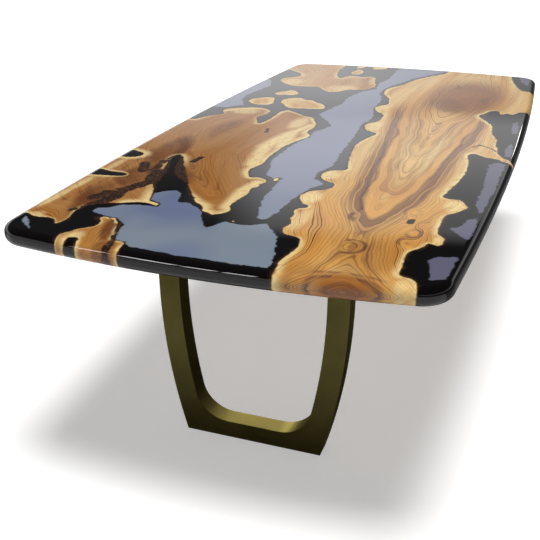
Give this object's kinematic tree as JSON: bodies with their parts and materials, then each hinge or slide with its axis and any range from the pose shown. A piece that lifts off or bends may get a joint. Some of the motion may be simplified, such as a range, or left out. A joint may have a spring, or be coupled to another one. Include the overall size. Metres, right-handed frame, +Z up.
{
  "type": "dining table",
  "caption": "Long dining table with a bowed, round-edged top of live-edge wood slabs cast in dark gloss resin, on tapered U-shaped metal legs with levelling feet.",
  "frame": {"origin": "on the floor under the middle of the table top, feet screwed fully in", "axes": "+X along the table's length to its far end, +Y across to its left side, +Z up"},
  "size_m": [2.6597, 1.266, 0.75],
  "materials": {
    "resin": "polished gloss",
    "wood": "polished, sealed in resin",
    "leg_paint": "satin olive bronze",
    "steel": "zinc plated",
    "channel_steel": "black powder coat",
    "brass": "plain brass",
    "foot_nylon": "matte black"
  },
  "bodies": {
    "table": {"right_slab": "wood", "left_slab": "wood", "near_corner_slab": "wood", "far_left_slab": "wood", "end_burl_slice": "wood", "end_wood_strip": "wood", "round_burl_slice": "wood", "double_burl_slice": "wood", "small_burl_slice": "wood", "far_burl_slice": "wood", "river_chips": "wood", "river_resin": "resin", "near_right_resin": "resin", "middle_right_resin": "resin", "far_right_resin": "resin", "rim_resin_fills": "resin", "near_leg_front_plate": "leg_paint", "near_leg_back_plate": "leg_paint", "near_leg_inner_band": "leg_paint", "near_leg_left_band": "leg_paint", "near_leg_right_band": "leg_paint", "near_leg_sole_plate": "leg_paint", "near_leg_mount_plate": "leg_paint", "near_leg_washers": "steel", "near_leg_bolts": "steel", "near_leg_inserts": "brass", "near_leg_foot_nuts": "steel", "near_stiffener": "channel_steel", "near_stiffener_bolts": "steel", "near_stiffener_inserts": "brass", "far_leg_front_plate": "leg_paint", "far_leg_back_plate": "leg_paint", "far_leg_inner_band": "leg_paint", "far_leg_left_band": "leg_paint", "far_leg_right_band": "leg_paint", "far_leg_sole_plate": "leg_paint", "far_leg_mount_plate": "leg_paint", "far_leg_washers": "steel", "far_leg_bolts": "steel", "far_leg_inserts": "brass", "far_leg_foot_nuts": "steel", "far_stiffener": "channel_steel", "far_stiffener_bolts": "steel", "far_stiffener_inserts": "brass"},
    "near_left_foot": {"near_left_foot_pad": "foot_nylon", "near_left_foot_stud": "steel"},
    "near_right_foot": {"near_right_foot_pad": "foot_nylon", "near_right_foot_stud": "steel"},
    "far_left_foot": {"far_left_foot_pad": "foot_nylon", "far_left_foot_stud": "steel"},
    "far_right_foot": {"far_right_foot_pad": "foot_nylon", "far_right_foot_stud": "steel"}
  },
  "joints": [
    {"name": "near_left_foot_level", "type": "slide", "parent": "table", "child": "near_left_foot", "axis": [0, 0, -1], "range_m": [0, 0.01]},
    {"name": "near_right_foot_level", "type": "slide", "parent": "table", "child": "near_right_foot", "axis": [0, 0, -1], "range_m": [0, 0.01]},
    {"name": "far_left_foot_level", "type": "slide", "parent": "table", "child": "far_left_foot", "axis": [0, 0, -1], "range_m": [0, 0.01]},
    {"name": "far_right_foot_level", "type": "slide", "parent": "table", "child": "far_right_foot", "axis": [0, 0, -1], "range_m": [0, 0.01]}
  ]
}
